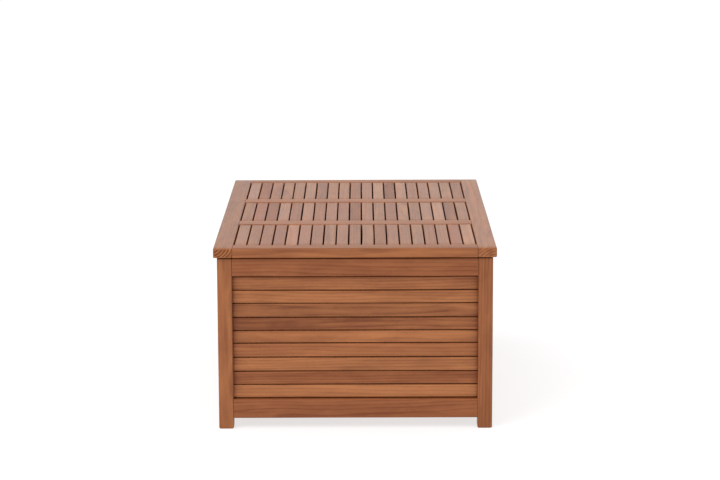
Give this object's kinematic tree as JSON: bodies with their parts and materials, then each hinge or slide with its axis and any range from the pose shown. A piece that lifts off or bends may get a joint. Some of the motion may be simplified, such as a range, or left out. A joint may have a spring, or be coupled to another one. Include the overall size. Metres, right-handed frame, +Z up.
{
  "type": "deck storage box",
  "caption": "Rectangular slatted teak deck storage box with a lift-up slatted lid on butt hinges and gas struts inside.",
  "frame": {"origin": "centre of the footprint at floor level, under the middle of the lid", "axes": "+X along the box towards its right end, +Y from the front to the hinged back, +Z up"},
  "size_m": [1.2, 0.8, 0.527],
  "materials": {
    "teak_body": "oiled teak, sanded, satin",
    "teak_lid": "oiled teak, sanded, satin",
    "teak_floor": "sawn teak, bare",
    "hinge_metal": "stainless, brushed",
    "screw_metal": "stainless",
    "bracket_metal": "zinc plated",
    "strut_black": "satin black",
    "strut_rod": "polished",
    "socket_plastic": "matte",
    "bumper_rubber": "matte"
  },
  "bodies": {
    "box": {"back_slats_first": "teak_body", "back_slats_last": "teak_body", "back_slats_middle": "teak_body", "bottom_rail_back": "teak_body", "bottom_rail_front": "teak_body", "bottom_rail_left": "teak_body", "bottom_rail_right": "teak_body", "end_slats_left": "teak_body", "end_slats_right": "teak_body", "floor_bearer": "teak_floor", "floor_ledger_back": "teak_floor", "floor_ledger_front": "teak_floor", "floor_slats": "teak_floor", "front_slats_first": "teak_body", "front_slats_last": "teak_body", "front_slats_middle": "teak_body", "hinge_left_box_leaf": "hinge_metal", "hinge_left_pin": "hinge_metal", "hinge_middle_box_leaf": "hinge_metal", "hinge_middle_pin": "hinge_metal", "hinge_right_box_leaf": "hinge_metal", "hinge_right_pin": "hinge_metal", "lid_bumpers": "bumper_rubber", "muntins_back": "teak_body", "muntins_front": "teak_body", "post_back_left": "teak_body", "post_back_right": "teak_body", "post_front_left": "teak_body", "post_front_right": "teak_body", "screws_box": "screw_metal", "strut_left_box_bracket": "bracket_metal", "strut_right_box_bracket": "bracket_metal", "top_rail_back": "teak_body", "top_rail_front": "teak_body", "top_rail_left": "teak_body", "top_rail_right": "teak_body"},
    "lid": {"hinge_left_lid_leaf": "hinge_metal", "hinge_middle_lid_leaf": "hinge_metal", "hinge_right_lid_leaf": "hinge_metal", "lid_rail_left": "teak_lid", "lid_rail_mid_left": "teak_lid", "lid_rail_mid_right": "teak_lid", "lid_rail_right": "teak_lid", "lid_slats_left": "teak_lid", "lid_slats_middle": "teak_lid", "lid_slats_right": "teak_lid", "lid_stile_back": "teak_lid", "lid_stile_front": "teak_lid", "screws_lid": "screw_metal", "strut_left_lid_bracket": "bracket_metal", "strut_right_lid_bracket": "bracket_metal"},
    "strut_left_tube": {"strut_left_cylinder": "strut_black", "strut_left_lower_socket": "socket_plastic"},
    "strut_left_plunger": {"strut_left_rod": "strut_rod", "strut_left_upper_socket": "socket_plastic"},
    "strut_right_tube": {"strut_right_cylinder": "strut_black", "strut_right_lower_socket": "socket_plastic"},
    "strut_right_plunger": {"strut_right_rod": "strut_rod", "strut_right_upper_socket": "socket_plastic"}
  },
  "joints": [
    {"name": "lid_hinge", "type": "hinge", "parent": "box", "child": "lid", "pos_m": [0, 0.393, 0.494], "axis": [-1, 0, 0], "range_deg": [0, 90]},
    {"name": "strut_left_swing", "type": "hinge", "parent": "box", "child": "strut_left_tube", "pos_m": [-0.538, 0.343, 0.477], "axis": [-1, 0, 0], "range_deg": [0, 96.45]},
    {"name": "strut_left_slide", "type": "slide", "parent": "strut_left_tube", "child": "strut_left_plunger", "axis": [0, -0.9992, 0.04], "range_m": [0, 0.06998]},
    {"name": "strut_right_swing", "type": "hinge", "parent": "box", "child": "strut_right_tube", "pos_m": [0.538, 0.343, 0.477], "axis": [-1, 0, 0], "range_deg": [0, 96.45]},
    {"name": "strut_right_slide", "type": "slide", "parent": "strut_right_tube", "child": "strut_right_plunger", "axis": [0, -0.9992, 0.04], "range_m": [0, 0.06998]}
  ],
  "couplings": [
    {"joint": "strut_left_swing", "follows": "lid_hinge", "ratio": 1.0715},
    {"joint": "strut_left_slide", "follows": "lid_hinge", "m_per_rad": 0.044544},
    {"joint": "strut_right_swing", "follows": "lid_hinge", "ratio": 1.0715},
    {"joint": "strut_right_slide", "follows": "lid_hinge", "m_per_rad": 0.044544}
  ]
}
